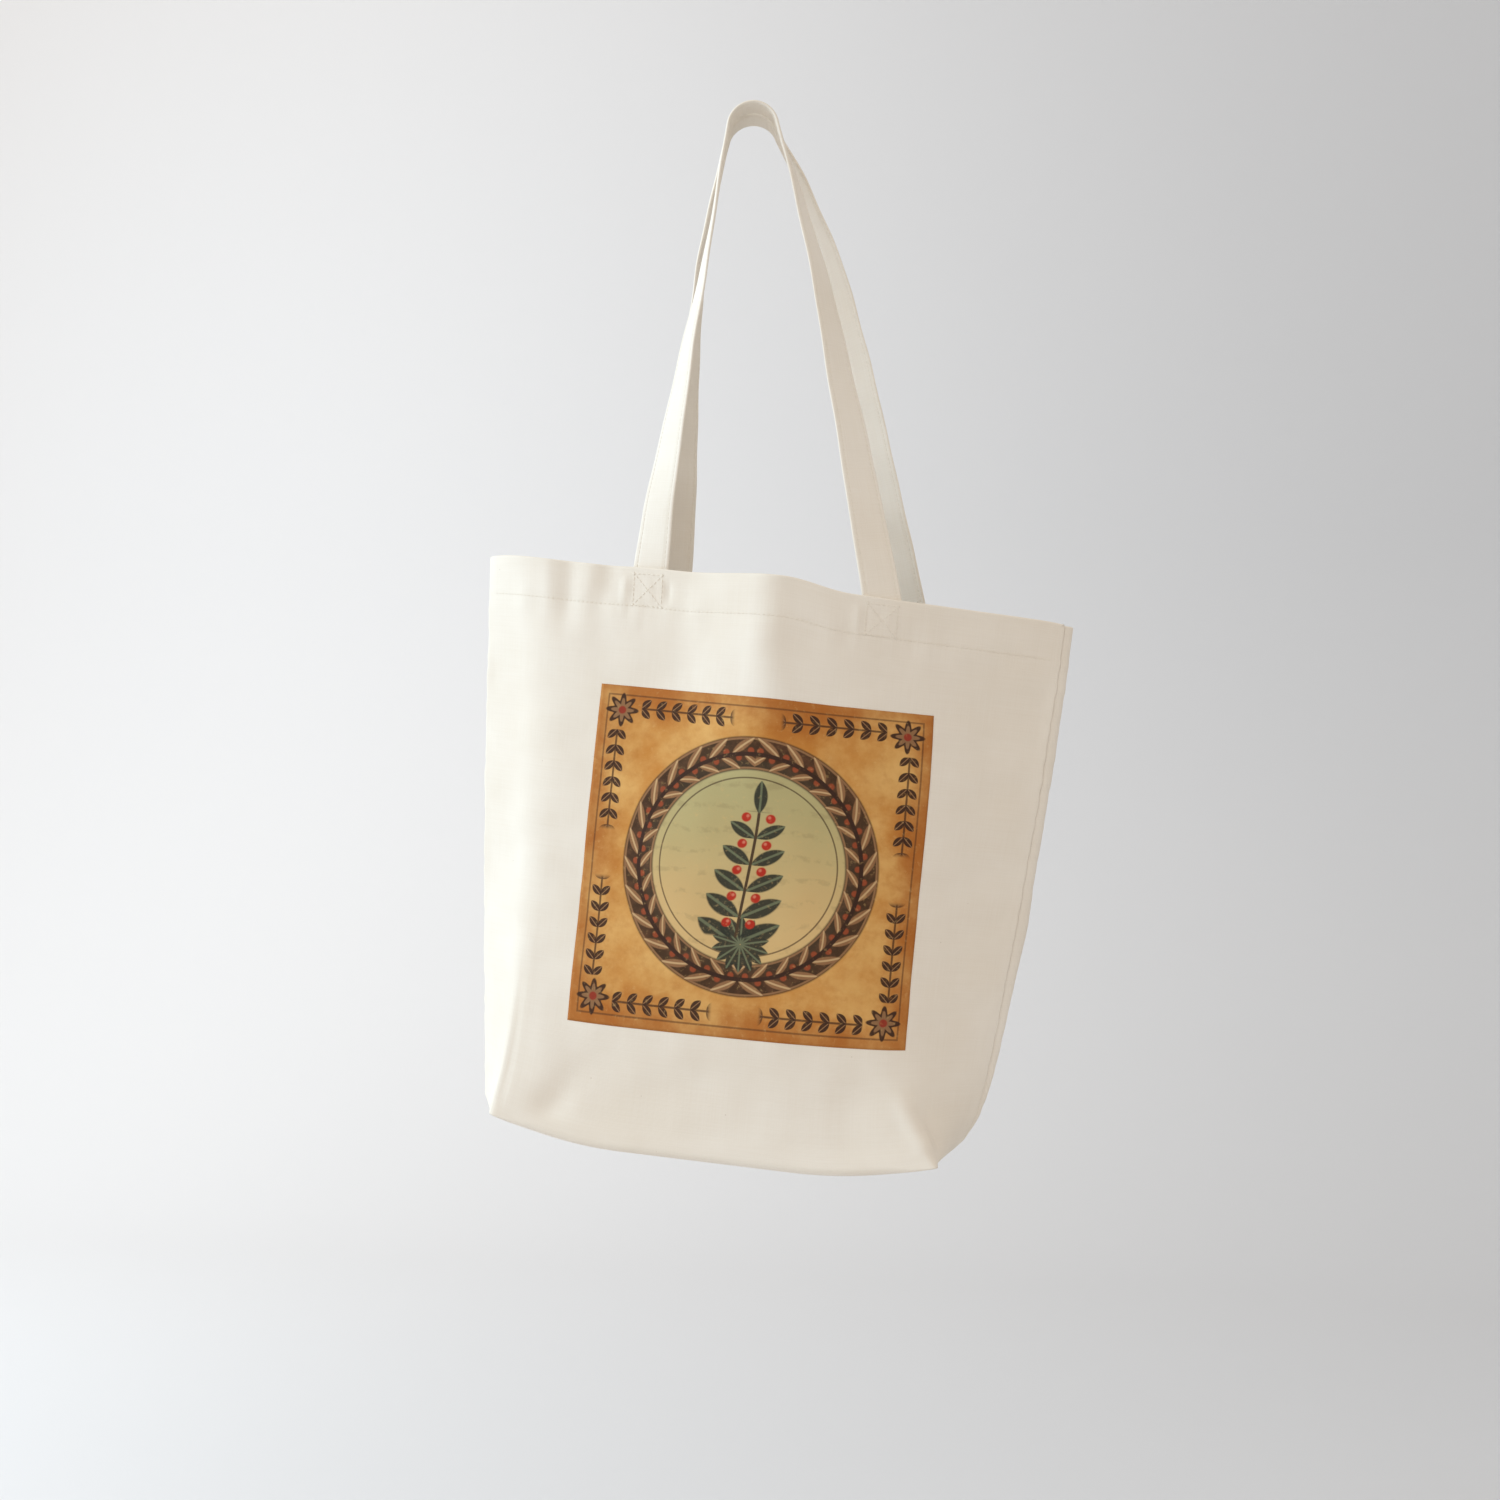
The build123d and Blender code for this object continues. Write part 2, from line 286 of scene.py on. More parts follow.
front_reach = np.stack((0.003 + 0.018 * (1 - fall) ** 0.8, 0.018 + 0 * fall, 0.010 + 0.014 * lower,
                        0.012 + 0.044 * lower, 0.002 + 0.085 * (1 - fall)), axis=1)
rear_depth = 0.0500 + 0.0050 * fall
rear_left_fold = (-foot_offset + left_fold_run * fall ** 1.5, rear_depth)
rear_middle = (0.0, 0.0570 - 0.0014 * fall)
rear_right_fold = (foot_offset + right_fold_run * fall ** 1.5, rear_depth)
rear_gusset = (right_seam_line[0] + 0.0045 * (1 - fall ** 6), 0.0040 * (1 - fall ** 6))
rear_corners = chain(left_seam_line, rear_left_fold, rear_middle, rear_right_fold, rear_gusset,
                     right_seam_line)
fold_reach = 0.002 + 0.060 * (1 - fall) ** 1.2
rear_reach = np.stack((fold_reach, 0.060 + 0 * fall, fold_reach, 0.0035 + 0 * fall), axis=1)

base_sides = np.linalg.norm(np.diff(front_corners[-1], axis=0), axis=1)
left_gusset, base_front, right_gusset = base_sides[0], base_sides[1:-1].sum(), base_sides[-1]
right_fold_place = left_gusset + base_front
cloth_width = left_gusset + base_front + right_gusset
seam_strip = 0.0085
seam_columns = np.array((0, 0.6, 1.2, 2.0, 3.0, 4.4, 6.2)) / 1000


def gusset_columns(width):
    """Columns from a seam to the fold beside it, closer together at the seam."""
    count = round((width - seam_strip) / cloth_step) + 1
    return np.concatenate((seam_columns, np.linspace(seam_strip, width, count)))


left_columns, right_columns = gusset_columns(left_gusset), gusset_columns(right_gusset)
base_columns = np.linspace(0, base_front, round(base_front / cloth_step) + 1)
columns = np.concatenate((left_columns, left_gusset + base_columns[1:-1], cloth_width - right_columns[::-1]))
base_span = slice(len(left_columns) - 1, len(columns) - len(right_columns) + 1)


def rounded(corners, reach, steps=16, most=0.49):
    """Rows of corner points as finely divided lines, each inner corner rounded off over its reach."""
    share = np.linspace(0, 1, steps)[None, :, None]
    line = [corners[:, :1]]
    for k in range(1, corners.shape[1] - 1):
        corner = corners[:, k:k + 1]
        ends = []
        for side in (-1, 1):
            away = corners[:, k + side:k + side + 1] - corner
            length = np.maximum(np.linalg.norm(away, axis=2, keepdims=True), 1e-9)
            ends.append(corner + away * np.minimum(reach[:, k - 1, None, None] / length, most))
        line.append((1 - share) ** 2 * ends[0] + 2 * share * (1 - share) * corner + share ** 2 * ends[1])
    return np.concatenate(line + [corners[:, -1:]], axis=1)


def spread(line):
    """The columns' places along each row's line, at the same shares of its length."""
    share = columns / columns[-1]
    places = []
    for row in line:
        run = run_along(row)
        places.append(np.stack([np.interp(share * run[-1], run, part) for part in row.T], axis=1))
    return np.array(places)


front_plan = spread(rounded(front_corners, front_reach))
rear_plan = spread(rounded(rear_corners, rear_reach))
foot_places = {-1: (front_plan, (-0.0840, 0.0785)), 1: (rear_plan, (-0.0840, 0.0880))}
feet = {side: [float(np.interp(place, plan[0, :, 0], columns)) for place in places]
        for side, (plan, places) in foot_places.items()}


def waves(s, t, length, count, seed):
    """A smooth random relief of about one unit, with folds of about the given length."""
    draw = np.random.default_rng(seed)
    relief = 0
    for _ in range(count):
        heading, phase = draw.uniform(0, math.pi), draw.uniform(0, 2 * math.pi)
        pitch = length * draw.uniform(0.7, 1.4)
        along = s * math.cos(heading) + t * math.sin(heading)
        relief = relief + np.sin(2 * math.pi * along / pitch + phase)
    return relief / math.sqrt(count)


hem_row = 0.025
row_dip, row_dip_width, row_dip_pitch = 0.00018, 0.0016, 0.009
ripple, ripple_pitch, ripple_middle, ripple_width = 0.00030, 0.016, 0.026, 0.012
foot_puckers = 7
pucker_spread, pucker_slant = 0.019, 0.12
pucker_widths, pucker_depths, pucker_lengths = (0.0018, 0.0034), (0.0005, 0.0011), (0.022, 0.050)


def hem_relief(s, t, feet, seed):
    """Puckers that every sewn line draws into the cloth: the hem row, and the boxes at the strap feet."""
    draw = np.random.default_rng(seed)
    relief = -row_dip * bell(t, hem_row, row_dip_width) * (1 + 0.5 * waves(s, t, row_dip_pitch, 3, seed + 1))
    ripples = ripple * waves(s, 0 * t, ripple_pitch, 4, seed + 2)
    relief = relief + ripples * bell(t, ripple_middle, ripple_width)
    for foot in feet:
        for _ in range(foot_puckers):
            place = foot + draw.uniform(-pucker_spread, pucker_spread)
            width = draw.uniform(*pucker_widths)
            depth = draw.choice((-1, 1)) * draw.uniform(*pucker_depths)
            length = draw.uniform(*pucker_lengths)
            slant = draw.uniform(-pucker_slant, pucker_slant)
            along = bell(s, place + slant * (t - 0.02), width)
            relief = relief + depth * along * between(t, 0.003, 0.012, 0.45 * length, length)
    return relief


def cloth_relief(s, t, broad, fine, feet, seed):
    """Broad and fine folds, each given by height and length, and the puckers of the hem."""
    relief = broad[0] * waves(s, t, broad[1], 5, seed) + fine[0] * waves(s, t, fine[1], 7, seed + 2)
    return relief + hem_relief(s, t, feet, seed + 8)


rim_pleats = ((0.058, 0.0008), (0.073, -0.0014), (0.088, 0.0009), (0.101, -0.0010))
pleat_width, pleat_slant = 0.0062, 0.06
crease_depth, dent_depth, slack_depth, lip_height = 0.0009, 0.0024, 0.0032, 0.0022
corner_slant = 0.55


def front_relief(s, t):
    """The front's own folds: pleats at the rim, a creased left fold, a slack foot with a dent and a lip."""
    relief = cloth_relief(s, t, (0.0008, 0.120), (0.00026, 0.040), feet[-1], 3)
    for place, depth in rim_pleats:
        pleat = bell(s, place - pleat_slant * t, pleat_width)
        relief = relief + depth * pleat * (1 - ease(t, 0.008, 0.060))
    crease = bell(s, left_gusset + 0.0040, 0.0026) - 0.6 * bell(s, left_gusset - 0.0012, 0.0022)
    crease = crease * between(t, 0.250, 0.330, bag_height - 0.012, bag_height)
    dent = bell(s - left_gusset, 0.030 + corner_slant * (bag_height - 0.003 - t), 0.012)
    dent = dent * between(t, 0.318, 0.350, 0.355, bag_height)
    slack = bell(t, 0.334, 0.030) * between(s, left_gusset + 0.02, left_gusset + 0.07,
                                            right_fold_place - 0.06, right_fold_place - 0.01)
    lip_line = right_fold_place + 0.008 - corner_slant * (bag_height - 0.004 - t)
    lip = bell(s, lip_line - 0.003, 0.007) - bell(s, lip_line + 0.010, 0.007)
    lip = lip * between(t, 0.320, 0.342, 0.358, bag_height - 0.003)
    return relief - crease_depth * crease - dent_depth * dent - slack_depth * slack + lip_height * lip


def rear_relief(s, t):
    return cloth_relief(s, t, (0.0013, 0.130), (0.0004, 0.045), feet[1], 23)


left_seam_seed, right_seam_seed = 41, 43
seam_pucker_reach = 0.010


def seam_puckers(t, seed):
    """Short and longer puckers down a side seam."""
    return 0.00025 * waves(0 * t, t, 0.012, 4, seed) + 0.0003 * waves(0 * t, t, 0.034, 3, seed + 1)


def fold_share(u):
    """How far out towards its fold a place lies, from 0 in the middle to 1 at the fold."""
    return np.where(u < 0, u / left_fold_base, u / right_fold_base)


def drawn_in(gap, depth, reach):
    """How far a seam draws the cloth in, at some distance from it."""
    return depth * np.clip(1 - gap / reach, 0, 1) ** 2


def numbered(grid):
    """The number of each point in a grid of points."""
    return np.arange(grid.shape[0] * grid.shape[1]).reshape(grid.shape[:2])


def grid_quads(numbers):
    """The four corners of each cell in a grid of point numbers."""
    corners = (numbers[:-1, :-1], numbers[1:, :-1], numbers[1:, 1:], numbers[:-1, 1:])
    return np.stack(corners, axis=-1).reshape(-1, 4)


base_drop = 0.3715
base_sag, sag_reach, sag_start = 0.0155, 0.62, 0.74
base_edge_radius, base_edge_fade = 0.0055, 0.035
base_hollow = 0.0016
ridge_peak, ridge_left, ridge_right, ridge_rise = 0.014, 0.056, 0.024, 0.0048
right_drop, foot_lift, foot_lift_width = 0.0014, 0.0012, 0.022
left_dip, left_dip_width, right_dip, right_dip_width = 0.0025, 0.008, 0.0016, 0.006
rim_fade = 0.100
rim_slope, slope_change = 1.2, 2.45
side_groove, base_groove, corner_tuck = (0.0028, 0.0038), (0.0022, 0.0042), (0.0016, 0.0042)
tuck_depth = 0.047
rim_turns = np.linspace(math.pi, 0, 9)[:-1]


class Panel:
    """One panel's outer face: a grid over the wall, the rows under the base and the rolled rim."""

    def __init__(self, plan, side, relief):
        self.side = side
        s, t = np.meshgrid(columns, rows)
        u, v = plan[..., 0], plan[..., 1]
        edge = np.clip(np.minimum(s - left_gusset, right_fold_place - s), 0, None)
        radius = np.where(edge > 0, base_edge_radius * ease(edge, 0.0, base_edge_fade), 0)
        wrap = np.clip(t - (bag_height - radius), 0, None) / np.where(radius > 0, radius, 1) * math.pi / 2
        v = v - side * radius * (1 - np.cos(wrap))
        w = -rim_radius - t * (base_drop - rim_radius) / bag_height
        w = w + (t - (bag_height - radius)) * (wrap > 0) - radius * np.sin(wrap) + self.rise(u, t)
        wall = in_frame(u, v, w)
        seam_gap = np.minimum(s, columns[-1] - s)
        offset = relief(s, t) * ease(seam_gap, 0.001, 0.012) * (1 - ease(t, bag_height - 0.02, bag_height))
        wall = wall + offset[..., None] * self.normals(wall)
        on_left = s < cloth_width / 2
        pucker = np.where(on_left, seam_puckers(t, left_seam_seed), seam_puckers(t, right_seam_seed))
        pucker = pucker * np.exp(-seam_gap / seam_pucker_reach) * ease(t, 0.004, 0.03)
        gusset = ((s < left_gusset) | (s > right_fold_place)) * ease(np.abs(v), base_half_depth, tuck_depth)
        tuck = drawn_in(bag_height - t, *corner_tuck) * gusset
        inward = np.where(on_left, 1.0, -1.0) * (drawn_in(seam_gap, *side_groove) + pucker + tuck)
        self.wall = wall + inward[..., None] * along_mouth + tuck[..., None] * up_bag
        self.normal = self.normals(self.wall)
        up = unit(self.wall[0] - self.wall[2])
        rolled = [math.sin(turn) * up - (1 - math.cos(turn)) * self.normal[0] for turn in rim_turns]
        self.rim = self.wall[0] + rim_radius * np.array(rolled)
        self.rim_down = -rim_turns * rim_radius
        self.under_base(u[-1], v[-1])

    def rise(self, u, t):
        """How far the ridge lifts the rim, its ends dip, the rim and base slope and the base sags."""
        share = t / bag_height
        hump = np.where(u < ridge_peak, bell(u, ridge_peak, ridge_left), bell(u, ridge_peak, ridge_right))
        rise = ridge_rise * hump * (self.side < 0) - right_drop * ease(u, 0.03, 0.06)
        rise = rise + foot_lift * bell(u, -foot_offset, foot_lift_width)
        from_left, from_right = np.clip((u - left_seam_line[0][0], right_seam_line[0][0] - u), 0, None)
        rise = rise - left_dip * np.exp(-from_left / left_dip_width)
        rise = rise - right_dip * np.exp(-from_right / right_dip_width)
        rise = rise * (1 - ease(t, 0.0, rim_fade)) - u * np.tan(np.radians(rim_slope - slope_change * share))
        from_fold = np.clip(1 - fold_share(u), 0, 1)
        sag = base_sag * (1 - (1 - np.minimum(from_fold / sag_reach, 1)) ** 2)
        return rise - sag * ease(share, sag_start, 1.0)

    def normals(self, grid):
        return unit(np.cross(np.gradient(grid, axis=0), np.gradient(grid, axis=1)) * -self.side)

    def under_base(self, u, v):
        """The rows from the wall's foot to the seam along the middle of the base."""
        share = np.concatenate((np.linspace(0, 0.92, 23)[1:], (0.945, 0.963, 0.978, 0.990, 1.0)))[:, None]
        u, v, s = u[base_span], v[base_span], columns[base_span]
        seams = (left_seam_line[0][-1] / left_fold_base, right_seam_line[0][-1] / right_fold_base)
        widen = np.where(u < 0, *seams) - 1
        gap = np.abs(v) * (1 - share)
        hollow = -base_hollow * np.sin(share * math.pi / 2) * (1 - fold_share(u) ** 6)
        from_end = np.minimum(s - s[0], s[-1] - s)
        tuck = drawn_in(from_end, *corner_tuck) * ease(gap, base_half_depth, tuck_depth)
        raised = drawn_in(gap, *base_groove) + hollow + tuck
        shift = (u * widen * share - np.sign(u) * tuck)[..., None] * along_mouth
        shift = shift - (v * share)[..., None] * to_rear + raised[..., None] * up_bag
        self.base = self.wall[-1, base_span] + shift
        self.base_down = bag_height + np.abs(v).mean() * share[:, 0]

    def at(self, s, t, lift=0.0):
        """Points on the outer face, or lifted off it, by how far along and down the cloth they lie."""
        s, t = np.broadcast_arrays(np.asarray(s, float), np.asarray(t, float))
        i = np.clip(np.searchsorted(rows, t, side="right") - 1, 0, len(rows) - 2)
        j = np.clip(np.searchsorted(columns, s, side="right") - 1, 0, len(columns) - 2)
        a = ((t - rows[i]) / (rows[i + 1] - rows[i]))[..., None]
        b = ((s - columns[j]) / (columns[j + 1] - columns[j]))[..., None]
        place, facing = [(1 - a) * ((1 - b) * grid[i, j] + b * grid[i, j + 1])
                         + a * ((1 - b) * grid[i + 1, j] + b * grid[i + 1, j + 1])
                         for grid in (self.wall, self.normal)]
        facing = unit(facing)
        return place + np.asarray(lift)[..., None] * facing, facing

    def mesh(self):
        """Points, faces and cloth places of the whole panel, rim, wall and base."""
        upper = np.concatenate((self.rim, self.wall))
        numbers = numbered(upper)
        lower = np.concatenate((numbers[-1:, base_span], numbers.size + numbered(self.base)))
        quads = np.concatenate((grid_quads(numbers), grid_quads(lower)))
        faces = quads if self.side < 0 else quads[:, ::-1]
        points = np.concatenate((upper.reshape(-1, 3), self.base.reshape(-1, 3)))
        grids = ((columns, np.concatenate((self.rim_down, rows))), (columns[base_span], self.base_down))
        places = [np.stack(np.meshgrid(across, down), axis=-1).reshape(-1, 2) for across, down in grids]
        return points, faces.tolist(), np.concatenate(places)


thread_pitch = 0.00066


def plain_weave(across, down):
    """The height of a plain weave, from 0 between the threads to 1 on top of them."""
    warp, weft = across * (math.pi / thread_pitch), down * (math.pi / thread_pitch)
    over = warp.sine() * weft.sine() * 0.5 + 0.5
    return over * (warp.cosine() ** 2) + (1 - over) * (weft.cosine() ** 2)


def canvas_finish(name, light_tone, deep_tone, streaks=1.0):
    """Unbleached plain weave: over-and-under threads with painted shade in the hollows between them, thick
    and thin yarns, seed flecks and soft staining.
    """
    finish = Finish(name, "UV")
    across, down = finish.parts()
    wander = finish.noise(90.0, 2.0) - 0.5
    weave = plain_weave(across + wander * 0.0009, down + wander * 0.0011)
    yarns = []
    for stretch in ((1500.0, 22.0, 1.0), (22.0, 1300.0, 1.0)):
        line = finish.node("VectorMath", {"operation": "MULTIPLY"}, {0: finish.place, 1: stretch})
        yarns.append(finish.noise(1.0, 2.0, Vector=line))
    slub = yarns[0] * 0.5 + yarns[1] * 0.5
    cloud = finish.noise(9.0, 4.0, Roughness=0.6)
    # the deep tone stands for thick yarns and staining, and, between the threads, for painted shade
    share = slub.ramp(0.34, 0.66) * (0.20 * streaks) + cloud.ramp(0.30, 0.72) * 0.45 + (1 - weave) * 0.35
    tone = finish.mix(share, light_tone, deep_tone)
    seeds = finish.node("TexVoronoi", {}, {"Vector": finish.place, "Scale": 130.0})
    rare = finish.node("SeparateColor", {}, {0: seeds.other("Color")})
    fleck = seeds.ramp(0.070, 0.035) * rare.ramp(0.90, 0.92) * 0.30
    tone = finish.mix(fleck, tone, paint(150, 118, 82))
    bump = finish.bump(0.45, 0.00022, weave * 0.7 + slub * 0.5)
    nap = {"Sheen Weight": 0.08, "Sheen Roughness": 0.6, "Specular IOR Level": 0.2}
    return finish.surface(tone, 0.97 - slub * 0.12, Normal=bump, **nap)


body_canvas = canvas_finish("natural_canvas", paint(244, 236, 224), paint(232, 220, 203))
front_cloth = Panel(front_plan, -1, front_relief)
rear_cloth = Panel(rear_plan, 1, rear_relief)
cloths = {"front": front_cloth, "rear": rear_cloth}


def on_bag(piece, slot, *nodes):
    """A piece that moves with the bag, with the nodes of the solids that it stands for; the slot is not used.
    """
    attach(piece, "bag")
    if nodes:
        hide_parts(*nodes)


panels = {}
for side, cloth in cloths.items():
    points, faces, places = cloth.mesh()
    piece = make_piece(side + "_panel_cloth", points, faces, body_canvas, places)
    ply = piece.modifiers.new("canvas_ply", "SOLIDIFY")
    ply.thickness = canvas_thickness
    ply.offset = -1
    on_bag(piece, "canvas", side + "_panel")
    panels[side] = piece

# The hems: the top edge of each panel, turned in twice into a band inside the mouth. Its folded lower edge is
# round, and one row of stitching holds it down.
hem_near, hem_far = 0.00100, 0.00250
hem_middle, hem_radius = (hem_near + hem_far) / 2, (hem_far - hem_near) / 2
hem_top, hem_round = -0.0002, hem_depth - hem_radius
hem_end_gap = 0.009
hem_swell = 0.0002
band_step = 0.002


def closed_tube(points):
    """The faces of a tube through rings of points, closed at both ends and facing outwards."""
    numbers = numbered(points)
    faces = grid_quads(np.concatenate((numbers, numbers[:, :1]), axis=1)).tolist()
    faces += [numbers[0].tolist(), numbers[-1][::-1].tolist()]
    volume = 0
    for face in faces:
        corners = points.reshape(-1, 3)[face]
        volume += np.cross(corners[1:-1], corners[2:]).sum(axis=0) @ corners[0]
    return faces if volume > 0 else [face[::-1] for face in faces]


band = [(t, hem_far + hem_swell * bell(t, 0.014, 0.007)) for t in np.linspace(hem_top, hem_round, 15)]
band += [(hem_round + hem_radius * math.sin(turn), hem_middle + hem_radius * math.cos(turn))
         for turn in np.linspace(0, math.pi, 7)[1:-1]]
band += [(t, hem_near) for t in np.linspace(hem_round, hem_top, 12)]
band_down, band_depth = np.array(band).T
hem_columns = columns[(columns > hem_end_gap) & (columns < cloth_width - hem_end_gap)]
hem_pieces = {}
for side, cloth in cloths.items():
    points, _ = cloth.at(hem_columns[:, None], band_down[None, :], -band_depth[None, :])
    band_places = np.cumsum(np.full(len(band), band_step))
    places = np.stack(np.broadcast_arrays(hem_columns[:, None], band_places[None, :]), axis=-1)
    piece = make_piece(side + "_hem_band", points, closed_tube(points), body_canvas, places)
    on_bag(piece, "canvas", side + "_hem")
    hem_pieces[side] = piece

# The seam allowances inside the bag: both panels' edges, sewn together and overlocked, down each side, along
# the middle of the base and across its two ends, where the corners are boxed.
allowance = 0.010
ply_gap = 0.0001
seam_step = 0.004
seam_inset = 0.0006
seam_end_gap = 0.001
seam_lean, seam_lean_length, seam_lean_seed = 0.22, 0.35, 60
corner_lean = 0.45
corner_skip, base_skip = 3, 4
overlock_pitch = 0.0026
overlock_radius = 0.00022
overlock_width = 0.00115
overlock_inner, overlock_outer = 0.55, 1.03


class Tree:
    """A Geometry Nodes tree with named inputs; every node is made by its one method."""

    def __init__(self, name, inputs):
        self.tree = bpy.data.node_groups.new(name, "GeometryNodeTree")
        self.identifiers = {}
        for port, kind in {"Rows": "Geometry", **inputs}.items():
            made = self.tree.interface.new_socket(port, in_out="INPUT", socket_type="NodeSocket" + kind)
            self.identifiers[port] = made.identifier
        self.tree.interface.new_socket("Sewn", in_out="OUTPUT", socket_type="NodeSocketGeometry")
        self.inputs = self.tree.nodes.new("NodeGroupInput").outputs

    def node(self, kind, settings, sockets, out=0):
        made = self.tree.nodes.new(kind)
        for key, setting in settings.items():
            setattr(made, key, setting)
        for key, value in sockets.items():
            if isinstance(value, bpy.types.NodeSocket):
                self.tree.links.new(value, made.inputs[key])
            else:
                made.inputs[key].default_value = value
        return made.outputs[out]

    def end(self, geometry):
        realized = self.node("GeometryNodeRealizeInstances", {}, {0: geometry})
        smooth = self.node("GeometryNodeSetShadeSmooth", {}, {0: realized})
        dyed = self.node("GeometryNodeSetMaterial", {},
                         {"Geometry": smooth, "Material": self.inputs["Thread"]})
        self.tree.links.new(dyed, self.tree.nodes.new("NodeGroupOutput").inputs[0])

    def sew(self, name, runs, values):
        """Runs of points, each with the way that faces out of the cloth, as one sewn mesh object."""
        points = np.concatenate([run for run, _ in runs])
        facing = np.concatenate([np.broadcast_to(out, run.shape) for run, out in runs])
        edges, start = [], 0
        for run, _ in runs:
            edges += [(k, k + 1) for k in range(start, start + len(run) - 1)]
            start += len(run)
        guide_mesh = bpy.data.meshes.new(name + "_guide")
        guide_mesh.from_pydata(points.tolist(), edges, [])
        outward = guide_mesh.attributes.new("outward", "FLOAT_VECTOR", "POINT")
        outward.data.foreach_set("vector", facing.astype(np.float32).ravel())
        guide = add_object(name + "_guide", guide_mesh)
        rule = guide.modifiers.new("sewing", "NODES")
        rule.node_group = self.tree
        for port, value in values.items():
            rule[self.identifiers[port]] = value
        sewn = bpy.data.meshes.new_from_object(guide.evaluated_get(bpy.context.evaluated_depsgraph_get()))
        bpy.data.objects.remove(guide)
        bpy.data.meshes.remove(guide_mesh)
        sewn.name = name
        return add_object(name, sewn)


looped = Tree("overlock_thread", {"Thread Radius": "Float", "Sides": "Int", "Thread": "Material"})
loop_line = looped.node("GeometryNodeMeshToCurve", {}, {0: looped.inputs["Rows"]})
loop_ring = looped.node("GeometryNodeCurvePrimitiveCircle", {}, {
    "Resolution": looped.inputs["Sides"], "Radius": looped.inputs["Thread Radius"]})
looped.end(looped.node("GeometryNodeCurveToMesh", {}, {
    "Curve": loop_line, "Profile Curve": loop_ring, "Fill Caps": True}))


def thread_finish(name, tone, shade):
    """Spun cotton thread, twisted from plies, with painted shade in the hollows between them."""
    finish = Finish(name, "Object")
    twist = finish.node("TexWave", {"bands_direction": "DIAGONAL"},
                        {"Vector": finish.place, "Scale": 900.0, "Distortion": 2.0, "Detail": 1.0}, "Fac")
    fuzz = finish.noise(700.0, 3.0)
    spun = finish.mix(twist * 0.6 + fuzz * 0.4, shade, tone)
    bump = finish.bump(0.4, 0.0001, twist + fuzz)
    return finish.surface(spun, 0.92 - fuzz * 0.2, Normal=bump, **{"Specular IOR Level": 0.25})


cotton_thread = thread_finish("cotton_thread", paint(244, 237, 225), paint(231, 220, 203))
raw_canvas = canvas_finish("raw_edge_canvas", paint(236, 226, 210), paint(218, 203, 180))


def ply_strip(line, inward, across):
    """Two plies of allowance side by side, standing in from a seam line, as points, faces and places."""
    points, faces, places = [], [], []
    run = run_along(line)
    for side in (-1, 1):
        near, far = side * ply_gap / 2, side * (ply_gap / 2 + canvas_thickness)
        ring = [(0.0, near), (0.5, near), (0.97, near), (1.0, (near + far) / 2),
                (0.97, far), (0.5, far), (0.0, far)]
        ply = np.array([[p + share * allowance * i + depth * across for share, depth in ring]
                        for p, i in zip(line, inward)])
        start = len(points) * len(ring)
        faces += [[start + number for number in face] for face in closed_tube(ply)]
        points += ply.tolist()
        places += [[(share * allowance, along) for share, _ in ring] for along in run]
    return points, faces, places


def resampled(line, pitch):
    """The same line with points one pitch apart."""
    run = run_along(line)
    marks = np.linspace(0, run[-1], max(2, round(run[-1] / pitch) + 1))
    return np.stack([np.interp(marks, run, part) for part in line.T], axis=1)


inner_rows = (rows > hem_depth + seam_end_gap) & (rows < bag_height - allowance - seam_end_gap)
base_ends = [np.concatenate((front_cloth.base[corner_skip:, end], rear_cloth.base[corner_skip:, end][::-1]))
             for end in (0, -1)]
seam_runs = {
    "left_side_seam": (front_cloth.wall[inner_rows, 0], along_mouth, to_rear),
    "right_side_seam": (front_cloth.wall[inner_rows, -1], -along_mouth, to_rear),
    "base_seam": (front_cloth.base[-1][base_skip:-base_skip], up_bag, to_rear),
    "left_corner_seam": (base_ends[0], up_bag + corner_lean * along_mouth, along_mouth),
    "right_corner_seam": (base_ends[1], up_bag - corner_lean * along_mouth, along_mouth),
}
for seed, (name, (line, inward, across)) in enumerate(seam_runs.items()):
    line = resampled(line, seam_step)
    along = np.linspace(0, 1, len(line))
    lean = seam_lean * waves(along, 0 * along, seam_lean_length, 3, seam_lean_seed + seed)[:, None]
    inward = unit(inward + lean * across)
    line = line + seam_inset * inward
    points, faces, places = ply_strip(line, inward, across)
    piece = make_piece(name + "_allowance", points, faces, raw_canvas, places)
    fine = resampled(line, overlock_pitch / 2)
    marks = np.linspace(0, 1, len(fine))
    into = unit(np.stack([np.interp(marks, along, part) for part in inward.T], axis=1))
    phase = np.arange(len(fine))[:, None]
    face = np.where(phase % 4 < 2, -1, 1) * overlock_width
    depth = np.where(phase % 2 == 0, overlock_inner, overlock_outer) * allowance
    zigzag = fine + depth * into + np.where(phase % 2 == 0, face, 0) * across
    thread = looped.sew(name + "_overlock", [(zigzag, into)],
                        {"Thread Radius": overlock_radius, "Sides": 6, "Thread": cotton_thread})
    on_bag(piece, "seam_canvas", name)
    on_bag(thread, "thread")

